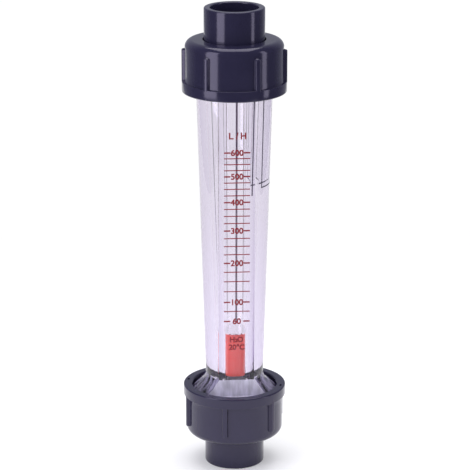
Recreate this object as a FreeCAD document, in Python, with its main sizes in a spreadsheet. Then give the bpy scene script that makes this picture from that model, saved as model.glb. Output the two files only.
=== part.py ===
"""Short-body plastic tube rotameter with two solvent-socket union ends.

Millimetres, +Z up, origin at the middle of the lower socket's end face, scale facing -Y.
Water enters at the bottom, lifts the float in the tapered tube and leaves at the top.
The two ends are alike, the upper one turned over, so each end part is drawn once in its own
frame, with z measured from the meter's end towards its middle.
"""
import FreeCAD, Part
import os
import Sketcher

# Driving dimensions: name, millimetres (or degrees or a count), what it is.
DIMENSIONS = [
    ("overall_length", 200.0, "from the face of one socket to the face of the other"),
    ("union_reach", 35.4, "from a socket's face to the open end of its nut"),
    ("nut_height", 22.0, "union nut, along its axis"),
    ("nut_radius", 20.6, "body of the nut, between its ribs"),
    ("nut_lip", 4.0, "closed end of the nut, which pulls on the flange"),
    ("nut_shoulder", 3.2, "rounded corner of the closed end"),
    ("nut_thread_root", 18.1, "bore of the nut at the root of its thread"),
    ("nut_lead_in", 0.4, "chamfer at the mouth of the nut"),
    ("ring_height", 4.5, "thick ring at the nut's open end"),
    ("ring_radius", 21.9, "outside of that ring"),
    ("ring_round", 0.5, "rounding of the ring's edges"),
    ("rib_count", 6, "grip ribs round the nut"),
    ("rib_width", 3.4, "grip rib, at its foot"),
    ("rib_reach", 1.35, "how far a grip rib stands out of the nut"),
    ("rib_end", 4.6, "from the closed end of the nut to where a rib's tip begins"),
    ("rib_tip", 2.0, "radius of a rib's bullet-shaped tip"),
    ("rib_draft", 14.0, "draft of a rib's flanks, degrees"),
    ("notch_length", 2.0, "gate mark in the face of the ring"),
    ("notch_width", 0.8, "across the gate mark"),
    ("notch_depth", 0.5, "into the face of the ring"),
    ("spigot_radius", 12.7, "outside of the socket end"),
    ("spigot_gap", 0.55, "between the spigot and the hole in the nut"),
    ("spigot_round", 0.6, "rounding of the socket's rim"),
    ("pipe_radius", 10.0, "the 20 mm pipe that is cemented in"),
    ("pipe_gap", 0.1, "between the pipe and its socket"),
    ("socket_depth", 16.0, "how far the pipe goes in"),
    ("waterway_radius", 8.0, "through the socket end"),
    ("flange_thickness", 4.0, "flange of the socket end, under the nut's lip"),
    ("flange_radius", 16.2, "flange of the socket end"),
    ("seal_radius", 14.4, "middle line of the O-ring"),
    ("seal_section", 1.0, "radius of the O-ring's squeezed section"),
    ("seal_gap", 0.05, "between the O-ring and the faces that squeeze it"),
    ("seal_room", 0.35, "between the O-ring and the sides of its groove"),
    ("collar_root", 16.2, "root of the thread on the tube's collar"),
    ("collar_radius", 17.6, "collar of the tube, above its thread"),
    ("collar_thread", 11.8, "length of the tube's threaded stretch"),
    ("flare_foot", 12.2, "from the tube's end to the foot of its bell flare"),
    ("flare_bend", 2.2, "how far the fillet between flare and tube runs along each of them"),
    ("tube_low_radius", 12.35, "outside of the round tube where the lower flare ends"),
    ("tube_high_radius", 16.0, "outside of the round tube at the upper nut"),
    ("bore_low_radius", 7.25, "tapered bore at its lower end"),
    ("bore_high_radius", 11.9, "tapered bore at its upper end"),
    ("bore_start", 19.0, "from the tube's lower end to the foot of the tapered bore"),
    ("bore_end", 12.4, "from the head of the tapered bore to the tube's upper end"),
    ("well_radius", 11.2, "straight well at the lower end of the tube"),
    ("well_depth", 9.6, "from the tube's end to the foot of the inlet cone"),
    ("seat_radius", 12.4, "recess in the tube's end that holds a float stop"),
    ("seat_depth", 3.0, "depth of that recess"),
    ("pad_width", 15.0, "flat strip that carries the scale"),
    ("pad_proud", 0.2, "how far the strip stands out of the cone at its middle line"),
    ("guide_count", 3, "guide ribs inside the tube"),
    ("guide_radius", 7.8, "circle on which the guide ribs end"),
    ("guide_thickness", 0.8, "guide rib"),
    ("guide_root", 1.0, "how deep the guide ribs' roots lie in the tube's wall"),
    ("float_rest", 19.8, "from the tube's lower end to the foot of the resting float"),
    ("float_height", 19.6, "float, from its foot to its reading edge"),
    ("float_radius", 6.95, "moulded sleeve of the float"),
    ("float_round", 0.6, "rounding of the sleeve's foot"),
    ("float_gap", 0.4, "between the reading edge and the guide ribs"),
    ("float_head", 0.5, "thickness of the steel head, whose rim is the reading edge"),
    ("float_shank", 5.3, "radius of the steel shank inside the sleeve"),
    ("float_plug", 1.6, "plug that closes the float's foot"),
    ("stop_gap", 0.1, "between a float stop's ring and the recess round it"),
    ("vane_gap", 0.3, "between a stop's vanes and the bore round them"),
    ("vane_land", 2.0, "straight stretch of the upper stop's vanes before their tip"),
    ("vane_shoulder", 6.0, "from the tube's end to where the upper stop's vanes narrow"),
    ("stop_ring", 1.3, "radial width of a stop's ring"),
    ("stop_vane", 1.2, "thickness of a stop's vanes"),
    ("stop_tip", 5.0, "radius of a stop's tip, where the float meets it"),
    ("lower_nut_turn", -15.2, "where a rib of the lower nut came to rest, degrees"),
    ("upper_nut_turn", 22.8, "where a rib of the upper nut came to rest, degrees"),
]

# The flare is a cone at 45 degrees, and its fillet turns through that angle.
COS_45 = 0.5 ** 0.5
TAN_22_5 = 2 ** 0.5 - 1

doc = FreeCAD.newDocument("rotameter")


class Size:
    """A number together with the expression that keeps it tied to the sheet."""

    def __init__(self, number, text):
        self.number = number
        self.text = text

    def __add__(self, other):
        return Size(self.number + as_size(other).number, f"({self.text} + {as_size(other).text})")

    def __sub__(self, other):
        return Size(self.number - as_size(other).number, f"({self.text} - {as_size(other).text})")

    def __mul__(self, other):
        return Size(self.number * as_size(other).number, f"({self.text} * {as_size(other).text})")

    def __truediv__(self, other):
        return Size(self.number / as_size(other).number, f"({self.text} / {as_size(other).text})")

    def __neg__(self):
        return Size(-self.number, f"(-1 * {self.text})")


def as_size(value):
    """A Size as it is, or a plain number made into one."""
    if isinstance(value, Size):
        return value
    return Size(float(value), repr(float(value)))


class Sheet:
    """The spreadsheet of driving dimensions, each readable as an attribute."""

    def __init__(self, rows):
        sheet = doc.addObject("Spreadsheet::Sheet", "Sizes")
        for row, (name, number, meaning) in enumerate(rows, start=1):
            sheet.set(f"A{row}", meaning)
            sheet.set(f"B{row}", str(number))
            sheet.setAlias(f"B{row}", name)
            setattr(self, name, Size(float(number), f"Sizes.{name}"))


def make_body(label):
    body = doc.addObject("PartDesign::Body", label)
    body.Label = label
    return body


def origin_plane(body, role):
    return next(f for f in body.Origin.OriginFeatures if f.Role == role)


def make_sketch(body, name, role, lift=None):
    """An empty sketch on one of the body's own planes, lifted along the plane's normal."""
    sketch = body.newObject("Sketcher::SketchObject", f"{body.Label}_{name}")
    sketch.AttachmentSupport = [(origin_plane(body, role), "")]
    sketch.MapMode = "FlatFace"
    if lift is not None:
        sketch.setExpression("AttachmentOffset.Base.z", lift.text)
    return sketch


def pin_point(sketch, edge, end, across, up):
    """Ties one end of an edge to two coordinates of the sheet."""
    for kind, place in (("DistanceX", as_size(across)), ("DistanceY", as_size(up))):
        index = sketch.addConstraint(Sketcher.Constraint(kind, -1, 1, edge, end, place.number))
        if "Sizes." in place.text:
            sketch.setExpression(f"Constraints[{index}]", place.text)


def arc_between(start, finish, radius):
    """Arc of a circle from start to finish, turning left for a positive radius.

    Returns the arc and which of its ends lies at start and at finish.
    """
    if radius < 0:
        arc, at_finish, at_start = arc_between(finish, start, -radius)
        return arc, at_start, at_finish
    chord = finish - start
    to_left = FreeCAD.Vector(-chord.y, chord.x, 0).normalize()
    centre = (start + finish) * 0.5 + to_left * (radius ** 2 - (chord.Length / 2) ** 2) ** 0.5
    circle = Part.Circle(centre, FreeCAD.Vector(0, 0, 1), radius)
    return Part.ArcOfCircle(circle, circle.parameter(start), circle.parameter(finish)), 1, 2


def draw_outline(sketch, corners):
    """Closes an outline through its corners, each (across, up) or (across, up, arc radius).

    A third value makes the edge that leaves that corner an arc.
    """
    points = [FreeCAD.Vector(as_size(c[0]).number, as_size(c[1]).number, 0) for c in corners]
    ends = []
    for here, corner in enumerate(corners):
        start = points[here]
        finish = points[(here + 1) % len(corners)]
        if len(corner) == 3:
            curve, at_start, at_finish = arc_between(start, finish, corner[2].number)
        else:
            curve, at_start, at_finish = Part.LineSegment(start, finish), 1, 2
        edge = sketch.addGeometry(curve, False)
        ends.append((edge, at_start, at_finish))
    for here, (edge, at_start, at_finish) in enumerate(ends):
        last_edge, _, last_end = ends[here - 1]
        sketch.addConstraint(Sketcher.Constraint("Coincident", last_edge, last_end, edge, at_start))
    for (edge, at_start, _), corner in zip(ends, corners):
        pin_point(sketch, edge, at_start, corner[0], corner[1])
        if len(corner) == 3:
            size = abs(corner[2].number)
            index = sketch.addConstraint(Sketcher.Constraint("Radius", edge, size))
            sign = "" if corner[2].number > 0 else "-1 * "
            sketch.setExpression(f"Constraints[{index}]", sign + corner[2].text)


def turn_outline(body, name, corners, kind="Revolution"):
    """Turns an outline of (radius, height) corners about the body's Z axis."""
    sketch = make_sketch(body, f"{name}_outline", "XZ_Plane")
    draw_outline(sketch, corners)
    feature = body.newObject(f"PartDesign::{kind}", f"{body.Label}_{name}")
    feature.Profile = sketch
    feature.ReferenceAxis = (sketch, ["V_Axis"])
    feature.Angle = 360
    feature.Refine = True
    doc.recompute()
    return feature


def raise_blade(body, name, corners, thickness, kind="Pad"):
    """Gives a side-view outline of (y, height) corners an even thickness about the YZ plane."""
    sketch = make_sketch(body, f"{name}_outline", "YZ_Plane")
    draw_outline(sketch, corners)
    feature = body.newObject(f"PartDesign::{kind}", f"{body.Label}_{name}")
    feature.Profile = sketch
    feature.Midplane = True
    feature.setExpression("Length", as_size(thickness).text)
    doc.recompute()
    return feature


def repeat_round(body, name, original, count):
    """Repeats a feature evenly round the body's Z axis."""
    pattern = body.newObject("PartDesign::PolarPattern", f"{body.Label}_{name}")
    pattern.Originals = [original]
    pattern.Axis = (origin_plane(body, "Z_Axis"), [""])
    pattern.Angle = 360
    pattern.setExpression("Occurrences", as_size(count).text)
    body.Tip = pattern
    doc.recompute()
    return pattern


def round_edges(body, name, wanted, radius):
    """Rounds every edge of the body's tip for which wanted(edge) is true."""
    base = body.Tip
    names = [f"Edge{n}" for n, edge in enumerate(base.Shape.Edges, start=1) if wanted(edge)]
    if not names:
        raise RuntimeError(f"{body.Label}: no edge found for {name}")
    fillet = body.newObject("PartDesign::Fillet", f"{body.Label}_{name}")
    fillet.Base = (base, names)
    fillet.setExpression("Radius", radius.text)
    doc.recompute()
    return fillet


def is_ring(edge, radius, height):
    """True for a full circle about Z of the given radius and height."""
    curve = edge.Curve
    return (isinstance(curve, Part.Circle) and edge.isClosed()
            and abs(curve.Radius - radius.number) < 0.01
            and abs(curve.Center.z - height.number) < 0.01)


def place(body, height, turn=0, upside_down=False):
    """Moves a part drawn at the meter's lower end to its height, or turns it to the upper end."""
    flip = FreeCAD.Rotation(FreeCAD.Vector(1, 0, 0), 180 if upside_down else 0)
    spin = FreeCAD.Rotation(FreeCAD.Vector(0, 0, 1), as_size(turn).number)
    body.Placement = FreeCAD.Placement(FreeCAD.Vector(0, 0, 0), spin.multiply(flip))
    body.setExpression("Placement.Base.z", as_size(height).text)


size = Sheet(DIMENSIONS)
doc.recompute()

# Heights that several parts share, from the meter's own lower end.
nut_foot = size.union_reach - size.nut_height
flange_foot = nut_foot + size.nut_lip
seal_face = flange_foot + size.flange_thickness
upper_seal_face = size.overall_length - seal_face
bore_foot = seal_face + size.bore_start
bore_head = upper_seal_face - size.bore_end
float_foot = seal_face + size.float_rest
upper_stop_height = bore_head + size.float_gap


def metering_tube():
    """Clear moulded tube: threaded collars, bell flares, tapered bore, flat scale strip."""
    body = make_body("metering_tube")
    flare_foot = seal_face + size.flare_foot
    flare_corner = flare_foot + size.collar_radius - size.tube_low_radius
    flare_top = flare_corner + size.flare_bend
    bend_reach = size.flare_bend * COS_45
    upper_flare_foot = upper_seal_face - size.flare_foot
    thread_end = seal_face + size.collar_thread
    upper_thread_end = upper_seal_face - size.collar_thread
    turn_outline(body, "shell", [
        (0, seal_face),
        (size.collar_root, seal_face),
        (size.collar_root, thread_end),
        (size.collar_radius, thread_end),
        (size.collar_radius, flare_foot),
        (size.tube_low_radius + bend_reach, flare_corner - bend_reach,
         -(size.flare_bend / TAN_22_5)),
        (size.tube_low_radius, flare_top),
        (size.tube_high_radius, upper_flare_foot),
        (size.collar_radius, upper_flare_foot),
        (size.collar_radius, upper_thread_end),
        (size.collar_root, upper_thread_end),
        (size.collar_root, upper_seal_face),
        (0, upper_seal_face),
    ])
    slope = (size.tube_high_radius - size.tube_low_radius) / (upper_flare_foot - flare_top)
    strip_top = size.tube_high_radius + size.pad_proud
    strip_foot = size.tube_low_radius + size.pad_proud - slope * (flare_top - flare_foot)
    inside = size.bore_low_radius + size.guide_root
    beyond = size.collar_radius + size.pad_width
    raise_blade(body, "flare_flat", [
        (-strip_foot, flare_foot),
        (-beyond, flare_foot),
        (-beyond, upper_flare_foot),
        (-strip_top, upper_flare_foot),
    ], beyond * 2, kind="Pocket")
    raise_blade(body, "scale_strip", [
        (-strip_foot, flare_foot),
        (-inside, flare_foot),
        (-inside, upper_flare_foot),
        (-strip_top, upper_flare_foot),
    ], size.pad_width)
    turn_outline(body, "bore", [
        (0, seal_face),
        (size.seat_radius, seal_face),
        (size.seat_radius, seal_face + size.seat_depth),
        (size.well_radius, seal_face + size.seat_depth),
        (size.well_radius, seal_face + size.well_depth),
        (size.bore_low_radius, bore_foot),
        (size.bore_high_radius, bore_head),
        (size.bore_high_radius, upper_seal_face - size.seat_depth),
        (size.seat_radius, upper_seal_face - size.seat_depth),
        (size.seat_radius, upper_seal_face),
        (0, upper_seal_face),
    ], kind="Groove")
    taper = (size.bore_high_radius - size.bore_low_radius) / (bore_head - bore_foot)
    guide_foot = bore_foot + (size.guide_radius - size.bore_low_radius) / taper
    guide = raise_blade(body, "guide", [
        (-size.guide_radius, guide_foot),
        (-size.guide_radius, bore_head),
        (-(size.bore_high_radius + size.guide_root), bore_head),
        (-(size.guide_radius + size.guide_root), guide_foot),
    ], size.guide_thickness)
    repeat_round(body, "guides", guide, size.guide_count)
    return body


def union_nut(label):
    """Moulded union nut, drawn with its closed end at z = 0 and its mouth up."""
    body = make_body(label)
    ring_foot = size.nut_height - size.ring_height
    hole = size.spigot_radius + size.spigot_gap
    turn_outline(body, "shell", [
        (hole, 0),
        (size.nut_radius, 0),
        (size.nut_radius, ring_foot),
        (size.ring_radius, ring_foot),
        (size.ring_radius, size.nut_height),
        (size.nut_thread_root + size.nut_lead_in, size.nut_height),
        (size.nut_thread_root, size.nut_height - size.nut_lead_in),
        (size.nut_thread_root, size.nut_lip),
        (hole, size.nut_lip),
    ])
    round_edges(body, "shoulder", lambda e: is_ring(e, size.nut_radius, as_size(0)),
                size.nut_shoulder)
    half_rib = size.rib_width / 2
    rib_start = size.nut_radius - size.nut_shoulder / 2
    sketch = make_sketch(body, "rib_outline", "XZ_Plane", lift=rib_start)
    draw_outline(sketch, [
        (half_rib, ring_foot + size.ring_round),
        (-half_rib, ring_foot + size.ring_round),
        (-half_rib, size.rib_end, size.rib_tip),
        (half_rib, size.rib_end),
    ])
    rib = body.newObject("PartDesign::Pad", f"{label}_rib")
    rib.Profile = sketch
    rib.setExpression("Length", (size.nut_radius + size.rib_reach - rib_start).text)
    rib.setExpression("TaperAngle", (-size.rib_draft).text)
    doc.recompute()
    repeat_round(body, "ribs", rib, size.rib_count)
    round_edges(body, "ring_rounds",
                lambda e: (is_ring(e, size.ring_radius, size.nut_height)),
                size.ring_round)
    notch = make_sketch(body, "notch_outline", "XY_Plane", lift=size.nut_height)
    middle = (size.nut_thread_root + size.nut_lead_in + size.ring_radius) / 2
    draw_outline(notch, [
        (middle - size.notch_width / 2, -size.notch_length / 2),
        (middle + size.notch_width / 2, -size.notch_length / 2),
        (middle + size.notch_width / 2, size.notch_length / 2),
        (middle - size.notch_width / 2, size.notch_length / 2),
    ])
    gate = body.newObject("PartDesign::Pocket", f"{label}_notch")
    gate.Profile = notch
    gate.setExpression("Length", size.notch_depth.text)
    doc.recompute()
    repeat_round(body, "notches", gate, 2)
    return body


def socket_end(label):
    """PVC end piece, drawn with its pipe socket's mouth at z = 0 and its flange up."""
    body = make_body(label)
    socket = size.pipe_radius + size.pipe_gap
    groove_half = size.seal_section + size.seal_room
    groove_floor = seal_face - size.seal_section * 2 - size.seal_gap * 2
    turn_outline(body, "shell", [
        (socket, 0),
        (size.spigot_radius, 0),
        (size.spigot_radius, flange_foot),
        (size.flange_radius, flange_foot),
        (size.flange_radius, seal_face),
        (size.seal_radius + groove_half, seal_face),
        (size.seal_radius + groove_half, groove_floor),
        (size.seal_radius - groove_half, groove_floor),
        (size.seal_radius - groove_half, seal_face),
        (size.waterway_radius, seal_face),
        (size.waterway_radius, size.socket_depth),
        (socket, size.socket_depth),
    ])
    round_edges(body, "rim", lambda e: is_ring(e, size.spigot_radius, as_size(0))
                or is_ring(e, socket, as_size(0)), size.spigot_round)
    return body


def o_ring(label):
    """Rubber ring squeezed in the socket end's groove, drawn about the origin."""
    ring = doc.addObject("Part::Torus", label)
    ring.Label = label
    ring.setExpression("Radius1", size.seal_radius.text)
    ring.setExpression("Radius2", size.seal_section.text)
    return ring


def float_stop(label, reach, skirt):
    """Moulded stop: a ring in the tube's end and three vanes that meet in a tip at z = reach.

    skirt lists the vane's outer corners between the ring and the tip.
    """
    body = make_body(label)
    ring_radius = size.seat_radius - size.stop_gap
    ring_height = size.seat_depth - size.stop_gap
    turn_outline(body, "ring", [
        (ring_radius - size.stop_ring, 0),
        (ring_radius, 0),
        (ring_radius, ring_height),
        (ring_radius - size.stop_ring, ring_height),
    ])
    corners = [(0, 0), (ring_radius - size.stop_ring / 2, 0)]
    corners += skirt
    corners += [(size.stop_tip, reach), (0, reach)]
    vane = raise_blade(body, "vane", corners, size.stop_vane)
    repeat_round(body, "vanes", vane, size.guide_count)
    return body


def lower_float_stop():
    """Its vanes follow the inlet cone up to the foot of the resting float."""
    stop = float_stop("lower_float_stop", size.float_rest, [
        (size.well_radius - size.vane_gap, size.seat_depth - size.stop_gap),
        (size.well_radius - size.vane_gap, size.well_depth),
        (size.stop_tip, size.bore_start - size.vane_gap),
    ])
    place(stop, seal_face)
    return stop


def upper_float_stop():
    """Its vanes hang in the straight stretch above the tapered bore and its guide ribs."""
    reach = upper_seal_face - upper_stop_height
    stop = float_stop("upper_float_stop", reach, [
        (size.bore_high_radius - size.vane_gap, size.seat_depth - size.stop_gap),
        (size.bore_high_radius - size.vane_gap, size.vane_shoulder),
        (size.stop_tip, reach - size.vane_land),
    ])
    place(stop, upper_seal_face, upside_down=True)
    return stop


def float_body():
    """Red moulded sleeve of the float, open from end to end for its steel insert."""
    body = make_body("float_body")
    neck = float_foot + size.float_height - size.float_head
    turn_outline(body, "sleeve", [
        (size.float_shank, float_foot),
        (size.float_radius - size.float_round, float_foot, size.float_round),
        (size.float_radius, float_foot + size.float_round),
        (size.float_radius, neck),
        (size.float_shank, neck),
    ])
    return body


def float_weight():
    """Turned steel insert: its shank fills the sleeve, and its thin head is the reading edge."""
    body = make_body("float_weight")
    head = float_foot + size.float_height
    rim = size.guide_radius - size.float_gap
    turn_outline(body, "insert", [
        (0, float_foot + size.float_plug),
        (size.float_shank, float_foot + size.float_plug),
        (size.float_shank, head - size.float_head),
        (rim, head - size.float_head),
        (rim, head),
        (0, head),
    ])
    return body


def float_plug():
    """Red disc welded into the foot of the sleeve under the weight."""
    plug = doc.addObject("Part::Cylinder", "float_plug")
    plug.Label = "float_plug"
    plug.setExpression("Radius", size.float_shank.text)
    plug.setExpression("Height", size.float_plug.text)
    place(plug, float_foot)
    return plug


def union_set(side, turn, upside_down):
    """The nut, socket end and O-ring of one end of the meter."""
    def height(from_end):
        return size.overall_length - from_end if upside_down else as_size(from_end)

    nut = union_nut(f"{side}_union_nut")
    place(nut, height(nut_foot), turn, upside_down)
    end = socket_end(f"{side}_socket_end")
    place(end, height(as_size(0)), 0, upside_down)
    ring = o_ring(f"{side}_o_ring")
    place(ring, height(seal_face - size.seal_section - size.seal_gap), 0, upside_down)
    return [nut, end, ring]


parts = [metering_tube(), float_body(), float_weight(), float_plug()]
parts += [lower_float_stop(), upper_float_stop()]
parts += union_set("lower", size.lower_nut_turn, upside_down=False)
parts += union_set("upper", size.upper_nut_turn, upside_down=True)
doc.recompute()

for made in doc.Objects:
    if "Invalid" in made.State or "Error" in made.State:
        raise RuntimeError(f"{made.Name} failed: {made.State}")
for part in parts:
    if part.Shape.isNull() or not part.Shape.isValid():
        raise RuntimeError(f"{part.Label} has no valid shape")

os.makedirs("parts", exist_ok=True)
for part in parts:
    part.Shape.exportStep(os.path.join("parts", f"{part.Label}.step"))
    print(f"{part.Label}: {part.Shape.Volume:.1f} mm3, {len(part.Shape.Solids)} solid")
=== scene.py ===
import math

import bmesh
import bpy
from mathutils import Matrix, Vector


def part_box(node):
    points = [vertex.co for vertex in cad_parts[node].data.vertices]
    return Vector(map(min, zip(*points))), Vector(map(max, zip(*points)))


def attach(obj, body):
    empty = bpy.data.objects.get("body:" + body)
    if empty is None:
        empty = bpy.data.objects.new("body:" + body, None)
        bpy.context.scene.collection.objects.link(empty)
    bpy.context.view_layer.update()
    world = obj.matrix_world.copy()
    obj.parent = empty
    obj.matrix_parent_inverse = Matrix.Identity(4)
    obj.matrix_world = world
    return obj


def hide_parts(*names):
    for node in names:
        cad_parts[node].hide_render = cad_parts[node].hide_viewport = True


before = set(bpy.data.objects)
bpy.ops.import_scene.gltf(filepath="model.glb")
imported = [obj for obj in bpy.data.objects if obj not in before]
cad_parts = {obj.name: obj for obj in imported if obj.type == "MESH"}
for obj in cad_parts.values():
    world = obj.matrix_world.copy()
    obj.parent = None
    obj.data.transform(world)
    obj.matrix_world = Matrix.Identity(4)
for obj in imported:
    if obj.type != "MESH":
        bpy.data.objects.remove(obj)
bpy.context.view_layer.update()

scene = bpy.context.scene

# Metering tube.
# One injection moulding in clear styrene-acrylonitrile, with a tapered bore that three straight
# guide ribs run down, a flat strip in front for the scale, a bell flare above the lower union and
# a threaded collar at each end. The mould's polish leaves it glassy, with a faint lilac tint.
# The flare's front is cut flat, and the cut widens downwards.
MM = 0.001
tube_low, tube_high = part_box("metering_tube")
FOOT = tube_low.z
HEAD = tube_high.z
THREAD_LEAD = 3.0 * MM
THREAD_ROOT = 16.2 * MM
THREAD_CREST = 17.5 * MM
THREAD_LENGTH = 11.8 * MM
THREAD_RUN_OUT = 0.5 * THREAD_LEAD
THREAD_HALF = 0.42
THREAD_FLANK = 0.45
COLLAR = tube_high.x
FLARE_FOOT = FOOT + 12.2 * MM
FLARE_BEND = 2.2 * MM
UPPER_FLARE = HEAD - 12.2 * MM
TUBE_LOW = 12.35 * MM
TUBE_HIGH = 16.0 * MM
FLARE_TOP = FLARE_FOOT + COLLAR - TUBE_LOW + FLARE_BEND
STRIP_HALF = 7.5 * MM
STRIP_PROUD = 0.2 * MM
FACET_SPREAD = 0.62
LEVEL = 0.01 * MM
BORE_LOW = 7.25 * MM
BORE_HIGH = 11.9 * MM
BORE_START = 18.2 * MM
BORE_END = 12.4 * MM
WELL = 11.2 * MM
WELL_DEPTH = 9.6 * MM
SEAT = 12.4 * MM
SEAT_DEPTH = 3.0 * MM
GUIDE = 7.8 * MM
GUIDE_HALF = 0.4 * MM
# From this height up, one flank of each guide rib carries the grey painted shade line.
RIB_SHADE_FOOT = FOOT + 43.0 * MM
ROUND_STEPS = 192
FLAT_STEPS = 24


def linear(code):
    """A colour as written in sRGB hex, in the linear values that shaders take."""
    parts = [int(code[at:at + 2], 16) / 255 for at in (1, 3, 5)]
    light = [c / 12.92 if c <= 0.04045 else ((c + 0.055) / 1.055) ** 2.4 for c in parts]
    return (*light, 1.0)


def add_node(tree, kind, inputs=None, **settings):
    """Adds a node; inputs maps a socket's name or place to a value or to another node's output."""
    node = tree.nodes.new(kind)
    for key, value in settings.items():
        setattr(node, key, value)
    for key, value in (inputs or {}).items():
        if isinstance(value, bpy.types.NodeSocket):
            tree.links.new(value, node.inputs[key])
        else:
            node.inputs[key].default_value = value
    return node


def new_material(name):
    material = bpy.data.materials.new(name)
    material.use_nodes = True
    material.node_tree.nodes.clear()
    return material, material.node_tree


def finish_piece(bm, name, sharp_degrees, materials, outward=True):
    """Closes a bmesh into an object with smooth faces and sharp corners."""
    bmesh.ops.remove_doubles(bm, verts=bm.verts, dist=0.0005 * MM)
    bmesh.ops.dissolve_degenerate(bm, edges=bm.edges, dist=0.0005 * MM)
    if outward:
        bmesh.ops.recalc_face_normals(bm, faces=bm.faces)
    mesh = bpy.data.meshes.new(name)
    bm.to_mesh(mesh)
    bm.free()
    mesh.shade_smooth()
    mesh.set_sharp_from_angle(angle=math.radians(sharp_degrees))
    for material in materials:
        mesh.materials.append(material)
    piece = bpy.data.objects.new(name, mesh)
    scene.collection.objects.link(piece)
    return piece


def ring_of(bm, points):
    return [bm.verts.new(p) for p in points]


def join_rings(bm, ring, next_ring, slot_of=None):
    """Quads between two closed rings of as many points."""
    count = len(ring)
    for at in range(count):
        after = (at + 1) % count
        corners = (ring[at], ring[after], next_ring[after], next_ring[at])
        face = bm.faces.new(corners)
        if slot_of is not None:
            face.material_index = slot_of(at)


def steps(start, finish, count):
    return [start + (finish - start) * at / count for at in range(count + 1)]


def arc_points(start, finish, radius, count):
    """Points of an arc in the (radius, height) plane; a positive radius turns left, as a bulge."""
    start, finish = Vector(start), Vector(finish)
    chord = finish - start
    across = Vector((-chord.y, chord.x)).normalized() * math.copysign(1, radius)
    centre = (start + finish) / 2 + across * math.sqrt(radius ** 2 - (chord.length / 2) ** 2)
    begin = math.atan2(start.y - centre.y, start.x - centre.x)
    sweep = math.copysign(2 * math.asin(chord.length / 2 / abs(radius)), radius)
    radius = abs(radius)
    return [(centre.x + radius * math.cos(begin + sweep * at / count),
             centre.y + radius * math.sin(begin + sweep * at / count)) for at in range(count + 1)]


def thread_height(turn, along):
    """Share of full thread depth at a turn (in revolutions) and a distance along the thread."""
    phase = (along / THREAD_LEAD - turn) % 1.0
    ridge = max(0.0, min(1.0, (THREAD_HALF - abs(phase - 0.5)) / (THREAD_HALF * THREAD_FLANK)))
    run_out = min(1.0, max(0.0, along / THREAD_RUN_OUT),
                  max(0.0, (THREAD_LENGTH - along) / THREAD_RUN_OUT))
    return ridge * run_out


def strip_front(z):
    """Distance of the scale strip's face from the axis: it leans with the cone behind it."""
    share = (z - FLARE_TOP) / (UPPER_FLARE - FLARE_TOP)
    return TUBE_LOW + (TUBE_HIGH - TUBE_LOW) * share + STRIP_PROUD


def outside_ring(radius, z, flat=None, thread=None, spread=0.0):
    """The tube's outline at one height, from the strip's right edge round the back to its left."""
    half = STRIP_HALF + spread
    if flat is not None and radius > flat:
        half = max(half, math.sqrt(radius ** 2 - flat ** 2))
    side = math.asin(half / radius)
    points = []
    for angle in steps(side, 2 * math.pi - side, ROUND_STEPS):
        reach = radius if thread is None else thread(angle)
        points.append((reach * math.sin(angle), -reach * math.cos(angle), z))
    for x in steps(-half, half, FLAT_STEPS):
        reach = radius if thread is None else thread(math.asin(x / radius))
        front = flat if flat is not None else math.sqrt(reach ** 2 - x ** 2)
        points.append((x, -front, z))
    return points


def inside_ring(radius, z, guides=False):
    """The bore's outline at one height, with its three guide ribs standing or sunk in the wall."""
    foot = math.sqrt(radius ** 2 - GUIDE_HALF ** 2)
    edge = min(GUIDE, foot) if guides else foot
    lean = math.asin(GUIDE_HALF / radius)
    points = []
    for guide in range(3):
        angle = guide * 2 * math.pi / 3
        out = Vector((math.sin(angle), -math.cos(angle), 0))
        side = Vector((math.cos(angle), math.sin(angle), 0))
        for reach, across in ((foot, -1), (edge, -1), (edge, 1), (foot, 1)):
            points.append(out * reach + side * GUIDE_HALF * across + Vector((0, 0, z)))
        for turn in steps(angle + lean, angle + 2 * math.pi / 3 - lean, ROUND_STEPS // 3)[1:-1]:
            points.append((radius * math.sin(turn), -radius * math.cos(turn), z))
    return points


def flare_profile():
    """The bell flare from its foot up: a cone at 45 degrees that a fillet eases into the tube."""
    corner = FLARE_TOP - FLARE_BEND
    reach = FLARE_BEND * math.sqrt(0.5)
    fillet = arc_points((TUBE_LOW + reach, corner - reach), (TUBE_LOW, FLARE_TOP),
                        -FLARE_BEND / math.tan(math.pi / 8), 16)
    return [(COLLAR, FLARE_FOOT)] + fillet


CLEAR, EDGE, FACET, FLARE = 0, 1, 2, 3


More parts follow.
